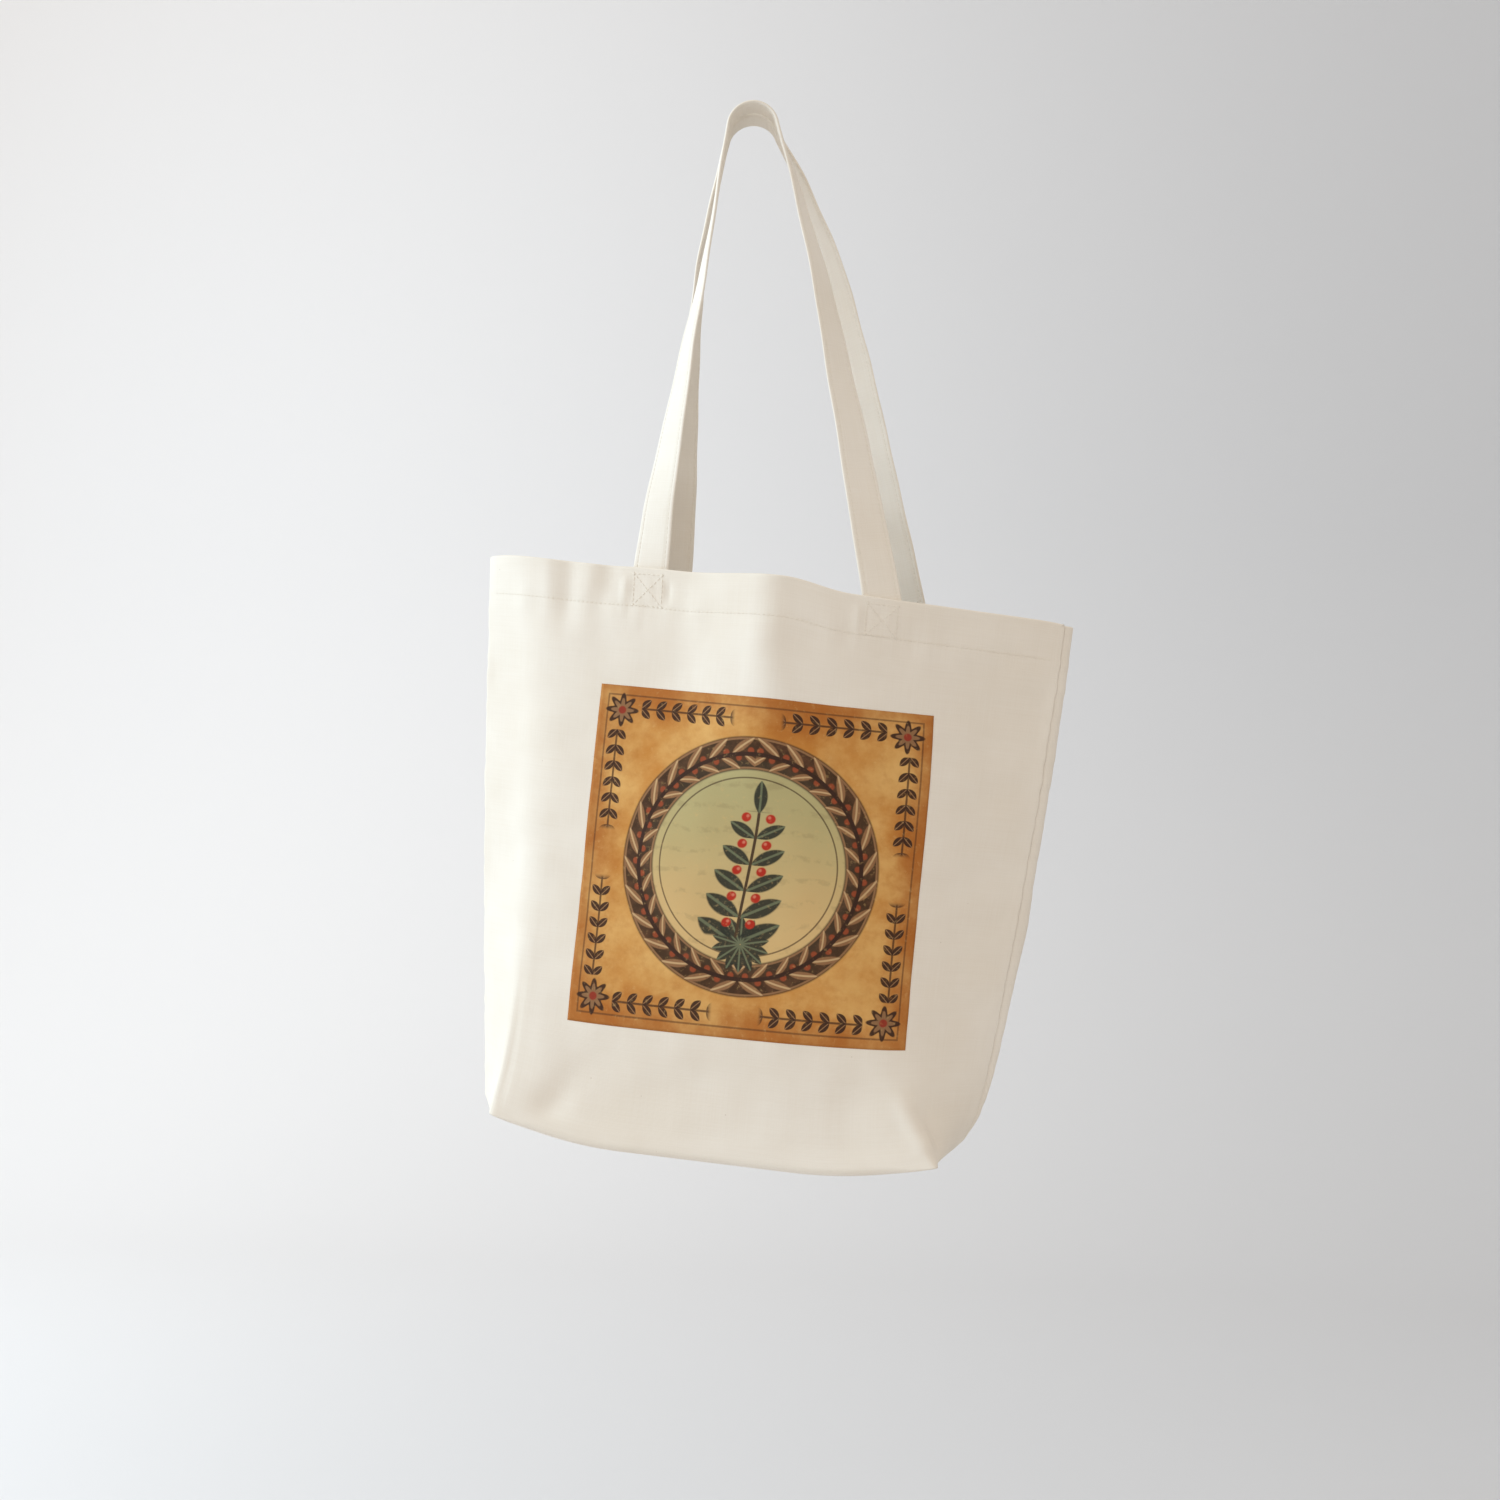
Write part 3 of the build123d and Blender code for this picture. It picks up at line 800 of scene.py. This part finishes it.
# The handles: a strip of canvas folded to four plies and stitched along both edges. Each end is sewn flat
# inside the hem; from there the strap turns edge-on as it rises, and lies flat over the peg.
strap_width = 0.026
strap_thickness = 0.0026
strap_inset = 0.0042
strap_end_length = 0.040
peg_seat_radius = 0.0173
handle_depth = 0.014
strap_stitch_inset = 0.003
strap_step = 0.003
seat_turn = math.radians(9)
strap_bows = {(-1, -1): -0.0012, (-1, 1): 0.0060, (1, -1): 0.0070, (1, 1): 0.0135}
twist_powers = {(-1, -1): 1.6, (-1, 1): 0.9, (1, -1): 2.0, (1, 1): 0.9}
foot_leans = {-1: 0.45, 1: 0.20}
leg_pull = 0.30
foot_half = 0.006
strap_wobble, wobble_length, wobble_fade = 0.0005, 0.06, 0.05
wobble_seeds = {-1: 71, 1: 73}
strap_edge_power = 9
strap_dip, strap_dip_width, strap_swell, strap_swell_width = 0.26, 0.0009, 0.05, 0.006
hinge_depth = 0.0476
hinge_heights = np.array((-0.018, 0.026))
strap_canvas = canvas_finish("strap_canvas", paint(246, 239, 228), paint(235, 224, 208), streaks=1.4)


def bezier(start, leave, arrive, end, count):
    share = np.linspace(0, 1, count)[:, None]
    return ((1 - share) ** 3 * start + 3 * share * (1 - share) ** 2 * leave
            + 3 * share ** 2 * (1 - share) * arrive + share ** 3 * end)


def turned(vector, angle):
    """Vectors turned about the upright axis, by one angle or one angle each."""
    x, y, z = np.moveaxis(np.broadcast_arrays(vector, np.asarray(angle)[..., None])[0], -1, 0)
    cosine, sine = np.cos(angle), np.sin(angle)
    return np.stack((x * cosine - y * sine, x * sine + y * cosine, z), axis=-1)


def strap_leg(cloth, hand):
    """One leg from its sewn end to the peg: middle points, ways to its front edge, its turn on the peg."""
    foot = feet[cloth.side][(hand + 1) // 2]
    sewn, _ = cloth.at(foot, np.linspace(strap_end_length, 0, 12), -strap_inset)
    beside, _ = cloth.at([foot - foot_half, foot + foot_half], 0.0, -strap_inset)
    inner_edge = -hand * unit(beside[1] - beside[0])
    end = sewn[-1]
    rise = unit(sewn[-1] - sewn[-4])
    seat_middle = turned(np.array((0, cloth.side * handle_depth, 0)), seat_turn)
    foot_in_seat = turned(end - seat_middle, -seat_turn)
    reach = math.hypot(foot_in_seat[0], foot_in_seat[2])
    leave_turn = math.atan2(foot_in_seat[2], foot_in_seat[0]) + hand * math.acos(peg_seat_radius / reach)
    around = np.array((math.cos(leave_turn), 0, math.sin(leave_turn)))
    on_peg = seat_middle + turned(peg_seat_radius * around, seat_turn)
    length = np.linalg.norm(on_peg - end)
    down_peg = turned(hand * np.array((math.sin(leave_turn), 0, -math.cos(leave_turn))), seat_turn)
    start_way = unit(foot_leans[hand] * rise + (1 - foot_leans[hand]) * (on_peg - end) / length)
    pull = leg_pull * length
    leg = bezier(end, end + pull * start_way, on_peg + pull * down_peg, on_peg, round(length / strap_step))
    share = np.linspace(0, 1, len(leg))
    leg = leg + (hand * strap_bows[cloth.side, hand] * np.sin(math.pi * share ** 2))[:, None] * along_mouth
    twist = (1 - share) ** twist_powers[cloth.side, hand]
    seat_edge = turned(cloth.side * to_rear, seat_turn)
    angle = math.acos(np.clip(seat_edge @ inner_edge, -1, 1))
    edge = np.sin(angle * (1 - twist))[:, None] * seat_edge + np.sin(angle * twist)[:, None] * inner_edge
    middle = np.concatenate((sewn[:-1], leg))
    return middle, np.concatenate((np.tile(inner_edge, (len(sewn) - 1, 1)), edge)), leave_turn


def strap_line(cloth):
    """The whole strap: middle points, and unit ways to its front edge and out of its outer face."""
    left, left_edge, left_turn = strap_leg(cloth, -1)
    right, right_edge, right_turn = strap_leg(cloth, 1)
    over = np.linspace(left_turn % (2 * math.pi), right_turn, 24)[1:-1]
    seat = np.stack((peg_seat_radius * np.cos(over), 0 * over + cloth.side * handle_depth,
                     peg_seat_radius * np.sin(over)), axis=1)
    seat_edge = np.tile(turned(cloth.side * to_rear, seat_turn), (len(seat), 1))
    middle = np.concatenate((left, turned(seat, seat_turn + 0 * over), right[::-1]))
    edge = np.concatenate((left_edge, seat_edge, right_edge[::-1]))
    along = unit(np.gradient(middle, axis=0))
    edge = unit(edge - (edge * along).sum(axis=1, keepdims=True) * along)
    return middle, edge, np.cross(edge, along) * -cloth.side


def strap_height(x):
    """Half the strap's thickness across its width: round folded edges and a dip under each stitch row."""
    share = np.abs(x) / (strap_width / 2)
    body = (1 - share ** strap_edge_power) ** 0.5
    dip = strap_dip * bell(np.abs(x), strap_width / 2 - strap_stitch_inset, strap_dip_width)
    return strap_thickness / 2 * body * (1 - dip + strap_swell * bell(x, 0, strap_swell_width))


half_section = strap_width / 2 * np.sin(np.linspace(-1, 1, 31) * math.pi / 2)
strap_lines = {}
for side, cloth in cloths.items():
    name = side + "_handle"
    middle, edge, out = strap_line(cloth)
    run = run_along(middle)
    wobble = strap_wobble * waves(run, 0 * run, wobble_length, 4, wobble_seeds[cloth.side])[:, None]
    sewn_in = ease(np.minimum(run, run[-1] - run), strap_end_length, strap_end_length + wobble_fade)[:, None]
    middle = middle + wobble * sewn_in * out
    across = np.concatenate((half_section, half_section[-2:0:-1]))
    lift = np.concatenate((strap_height(half_section), -strap_height(half_section[-2:0:-1])))
    points = middle[:, None] + across[None, :, None] * edge[:, None] + lift[None, :, None] * out[:, None]
    places = np.stack(np.broadcast_arrays(across[None, :], run[:, None]), axis=-1)
    piece = make_piece(name + "_strap", points, closed_tube(points), strap_canvas, places)
    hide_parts(name, name + "_left_end", name + "_right_end")
    hinge = in_frame(0.0, cloth.side * hinge_depth, hinge_heights)
    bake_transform(piece)
    strap_lines[side] = (middle, edge, out, run, hinge)

# The sewing: lockstitched cotton thread. One row holds each hem, two rows run along each strap, and a square
# with a cross holds each strap end through the hem.
stitch_pitch = 0.0032
stitch = Tree("lockstitch_rows", {
    "Pitch": "Float", "Stitch Length": "Float", "Thread Width": "Float", "Thread Height": "Float",
    "Unevenness": "Float", "Seed": "Int", "Thread": "Material"})
given = stitch.inputs
row_line = stitch.node("GeometryNodeMeshToCurve", {}, {0: given["Rows"]})
row_marks = stitch.node("GeometryNodeResampleCurve", {"mode": "LENGTH"}, {
    "Curve": row_line, "Length": given["Pitch"]})
grain = stitch.node("GeometryNodeMeshUVSphere", {}, {"Segments": 8, "Rings": 5, "Radius": 0.5})
outward = stitch.node("GeometryNodeInputNamedAttribute", {"data_type": "FLOAT_VECTOR"}, {"Name": "outward"})
tangent = stitch.node("GeometryNodeInputTangent", {}, {})
heading = stitch.node("FunctionNodeAxesToRotation", {"primary_axis": "X", "secondary_axis": "Z"}, {
    "Primary Axis": tangent, "Secondary Axis": outward})
uneven = stitch.node("FunctionNodeRandomValue", {"data_type": "FLOAT"}, {
    2: 1.0, 3: given["Unevenness"], "Seed": given["Seed"]}, out=1)
stitch_length = stitch.node("ShaderNodeMath", {"operation": "MULTIPLY"}, {
    0: given["Stitch Length"], 1: uneven})
stitch_size = stitch.node("ShaderNodeCombineXYZ", {}, {
    0: stitch_length, 1: given["Thread Width"], 2: given["Thread Height"]})
stitch.end(stitch.node("GeometryNodeInstanceOnPoints", {}, {
    "Points": row_marks, "Instance": grain, "Rotation": heading, "Scale": stitch_size}))
thread_values = {"Pitch": stitch_pitch, "Stitch Length": 0.0029, "Thread Width": 0.00062,
                 "Thread Height": 0.00042, "Unevenness": 0.86, "Thread": cotton_thread}
thread_lift, under_lift, strap_thread_lift = 0.00012, 0.0001, 0.00008
box_half_width, box_top, box_foot = 0.010, 0.0035, 0.0245
row_overlap = 0.006
line_points = 15
hem_seed, box_seed, strap_seed = 81, 85, 89
thread_pieces = {"front": [], "rear": []}


def sew_rows(name, runs, seed):
    return stitch.sew(name, runs, {**thread_values, "Seed": seed})


def both_sides(cloth, s, t, depth):
    """A line of stitches on the cloth's outer face, and the same line at a depth under it."""
    under, facing = cloth.at(s, t, -depth)
    return [cloth.at(s, t, thread_lift), (under, -facing)]


for seed, (side, cloth) in enumerate(cloths.items()):
    runs = both_sides(cloth, hem_columns, hem_row, hem_far + thread_lift)
    piece = sew_rows(side + "_hem_thread", runs, hem_seed + seed)
    on_bag(piece, "thread", side + "_hem_stitching")
    thread_pieces[side].append(piece)
    for hand, foot in zip(("left", "right"), feet[cloth.side]):
        low, high = foot - box_half_width, foot + box_half_width
        square = [(low, box_top), (high, box_top), (high, box_foot), (low, box_foot), (low, box_top)]
        lines = list(zip(square[:-1], square[1:])) + [(square[0], square[2]), (square[1], square[3])]
        runs = []
        for (s0, t0), (s1, t1) in lines:
            s, t = np.linspace(s0, s1, line_points), np.linspace(t0, t1, line_points)
            runs += both_sides(cloth, s, t, strap_inset + strap_thickness / 2 + under_lift)
        piece = sew_rows(side + "_" + hand + "_box_thread", runs, box_seed + seed)
        on_bag(piece, "thread", side + "_" + hand + "_box_stitching")
        thread_pieces[side].append(piece)
    middle, edge, out, run, hinge = strap_lines[side]
    free_end = strap_end_length - row_overlap
    free = (run > free_end) & (run < run[-1] - free_end)
    runs = []
    for row in (-1, 1):
        offset = row * (strap_width / 2 - strap_stitch_inset)
        for face in (-1, 1):
            lift = face * (strap_height(offset) + strap_thread_lift)
            runs.append(((middle + offset * edge + lift * out)[free], (face * out)[free]))
    piece = sew_rows(side + "_handle_thread", runs, strap_seed + seed)
    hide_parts(side + "_handle_stitching")
    side + "_handle"
    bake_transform(piece)

# The print: a square of ink on the front panel, an aged ochre ground with a wreath of leaves round a pale
# oval and a sprig with berries in it. The ink lies on the weave and follows every fold of the cloth.
print_width, print_height = 0.2305, 0.2252
print_middle = (0.2200, 0.1890)
print_turn = math.radians(-1.2)
print_spread = 0.021
print_count = 120
film_lift, film_thickness = 0.00018, 0.0001
grid = np.linspace(-0.5, 0.5, print_count)
x, y = np.meshgrid(grid, grid)
along_print, down_print = print_width * x * (1 + print_spread * (0.5 - y)), print_height * y
print_t = print_middle[1] + along_print * math.sin(print_turn) + down_print * math.cos(print_turn)
row_length = np.linalg.norm(np.diff(front_plan, axis=1), axis=2).sum(axis=1)
stretch = cloth_width / np.interp(print_t, rows, row_length)
print_s = print_middle[0] + stretch * (along_print * math.cos(print_turn) - down_print * math.sin(print_turn))
points, _ = front_cloth.at(print_s, print_t, film_lift)
places = np.stack((x + 0.5, 0.5 - y), axis=-1)
ink = Finish("printed_ink", "UV")
ink_across, ink_up = ink.parts()
card_x, card_y = ink_across * 2 - 1, ink_up * 2 - 1


def leaf(along, across, slant, length, width):
    """A pointed leaf that grows from the origin at a slant to its line: its blade and its midrib."""
    out = (along * math.cos(slant) + across * math.sin(slant)) / length
    aside = abs(across * math.cos(slant) - along * math.sin(slant)) / length
    half = ((out * (1 - out)).most(0.0) * 4) ** 0.8 * width
    blade = (half - aside).ramp(0.0, 0.05)
    return blade, aside.ramp(0.045, 0.015) * blade


def disc(x, y, radius):
    return (x * x + y * y).root().ramp(radius + 0.006, radius - 0.004)


def lay(share, colour):
    """One more layer of ink over those laid before."""
    layers.append(ink.mix(share, layers[-1], colour))


def lay_leaf(shape, blade_tone, rib_tone, there=1.0):
    """A leaf's blade and midrib, worn a little, where there is one."""
    blade, rib = shape
    lay(blade * there * leaf_wear, blade_tone)
    lay(rib * there * 0.8, rib_tone)


cloud_sizes = ((4.0, 6.0), (26.0, 4.0), (60.0, 3.0))
mottle, grain, wear = [ink.noise(scale, detail, Roughness=0.62) for scale, detail in cloud_sizes]
leaf_wear = wear.ramp(0.22, 0.45) * 0.35 + 0.62
sepia, pale_sepia = paint(52, 31, 22), paint(168, 124, 84)
slate_green, pale_green = paint(36, 47, 40), paint(116, 124, 94)
edge_gap = (1 - abs(card_x)).least(1 - abs(card_y))
layers = [ink.mix(mottle.ramp(0.32, 0.68), paint(200, 132, 56), paint(228, 178, 106))]
lay(grain.ramp(0.45, 0.75) * 0.30, paint(184, 114, 42))
lay((edge_gap + mottle * 0.60 - 0.30).ramp(0.24, -0.04) * 0.62, paint(164, 82, 22))
lay(abs(edge_gap - 0.055).ramp(0.007, 0.003) * 0.55, sepia)

# a vine of small leaves runs along each side from a rosette in each corner
vine_place, vine_start, vine_cell = 0.872, 0.74, 0.096
for run, off in ((abs(card_x), abs(card_y)), (abs(card_y), abs(card_x))):
    grown, aside = vine_start - run, abs(off - vine_place)
    there = grown.ramp(0.0, 0.01) * grown.ramp(0.61, 0.57)
    vine_leaf = leaf((grown / vine_cell).fraction() * vine_cell, aside, 0.75, 0.082, 0.29)
    lay_leaf(vine_leaf, sepia, pale_sepia, there)
    lay(aside.ramp(0.008, 0.004) * there * 0.8, sepia)
rose_x, rose_y = abs(card_x) - 0.855, abs(card_y) - 0.855
rose_reach = (rose_x * rose_x + rose_y * rose_y).root()
petals = (rose_y.turn_from(rose_x) * 8).cosine()
lay((petals * 0.022 + 0.085 - rose_reach).ramp(0.0, 0.012) * leaf_wear, sepia)
lay((petals * 0.018 + 0.058 - rose_reach).ramp(0.0, 0.012) * 0.7, pale_sepia)
lay(disc(rose_x, rose_y, 0.022), paint(150, 52, 34))

# a wreath grows up both sides of a pale oval
oval_size = 0.650
oval_x, oval_y = abs(card_x) / oval_size, card_y / (oval_size * 1.03)
ring = ((oval_x * oval_x + oval_y * oval_y).root() - 1) * oval_size
field = ink.mix((card_y + mottle * 0.5 - 0.25).ramp(-0.5, 0.55), paint(220, 186, 128), paint(182, 174, 124))
strokes = (card_y * 46 + mottle * 9).sine().ramp(0.55, 0.95) * grain.ramp(0.45, 0.6)
field = ink.mix(strokes * 0.22, field, paint(126, 112, 78))
lay((ring + 0.035).ramp(0.01, -0.01) * 0.94, field)
band = abs(ring - 0.005).ramp(0.104, 0.088)
band_tone = ink.mix(grain.ramp(0.42, 0.70), paint(40, 25, 19), paint(78, 50, 34))
lay(band * 0.95, band_tone)
lay(abs(abs(ring - 0.005) - 0.084).ramp(0.008, 0.003) * 0.7, pale_sepia)
wreath_cell = 0.146
turn = oval_y.turn_from(oval_x) * (oval_size / wreath_cell) + 20
for shift, side, length in ((0.0, ring, 0.170), (0.5, ring * -1, 0.150)):
    grown = (turn + shift).fraction() * wreath_cell
    shape = leaf(grown, side, 0.60, length, 0.155)
    lay_leaf(shape, paint(150, 108, 72), paint(214, 178, 130))
    lay(disc(grown - 0.118, side - 0.020, 0.017), paint(150, 70, 40))
lay(abs(ring).ramp(0.015, 0.009), sepia)
lay(abs(ring + 0.135).ramp(0.006, 0.003) * 0.7, sepia)

# a sprig with berries stands in the oval on a tuft of leaves
sprig_x, sprig_y = card_x - (card_y * 2.6 + 0.4).sine() * 0.05, card_y + 0.46
tuft_reach = (card_x * card_x + sprig_y * sprig_y).root()
tuft_turn = (sprig_y.turn_from(card_x) * (7 / math.pi) + 20).fraction() - 0.5
tuft_leaf = leaf(tuft_reach, tuft_turn * tuft_reach * (math.pi / 7), 0.0, 0.170, 0.22)
lay_leaf(tuft_leaf, slate_green, pale_green)
sprig_cell = 0.158
there = sprig_y.ramp(0.03, 0.05) * sprig_y.ramp(0.80, 0.78)
step = (sprig_y / sprig_cell).fraction() * sprig_cell
lay_leaf(leaf(abs(sprig_x), step, 0.52, 0.300 - sprig_y * 0.16, 0.22), slate_green, pale_green, there)
lay_leaf(leaf(sprig_y - 0.78, sprig_x, 0.0, 0.20, 0.22), slate_green, pale_green)
lay(abs(sprig_x).ramp(0.011, 0.006) * there, paint(74, 58, 40))
berry_x, berry_y = abs(sprig_x) - 0.070, step - 0.124
lay(disc(berry_x, berry_y, 0.027) * there, paint(184, 42, 26))
lay(disc(berry_x + 0.008, berry_y - 0.008, 0.008) * there * 0.6, paint(232, 150, 120))
lay(wear.ramp(0.56, 0.78) * 0.30, paint(224, 184, 118))
ink_weave = plain_weave(ink_across * print_width, ink_up * print_height)
# painted shade in the hollows between the threads, over the ink
lay((1 - ink_weave) * 0.14, paint(124, 78, 38))
ink_bump = ink.bump(0.4, 0.0002, ink_weave)
ink.surface(layers[-1], 0.9 - grain * 0.25, Normal=ink_bump, **{"Specular IOR Level": 0.25})
printed = make_piece("print_film", points, grid_quads(numbered(points)).tolist(), ink.material, places)
film = printed.modifiers.new("ink_film", "SOLIDIFY")
film.thickness = film_thickness
film.offset = -1
on_bag(printed, "print", "print_panel")

# The pieces of each panel's cloth: its hem, its stitching and, at the front, the print, listed together.
for side, panel in panels.items():
    extra = [hem_pieces[side]] + ([printed] if side == "front" else [])
    extra + thread_pieces[side]
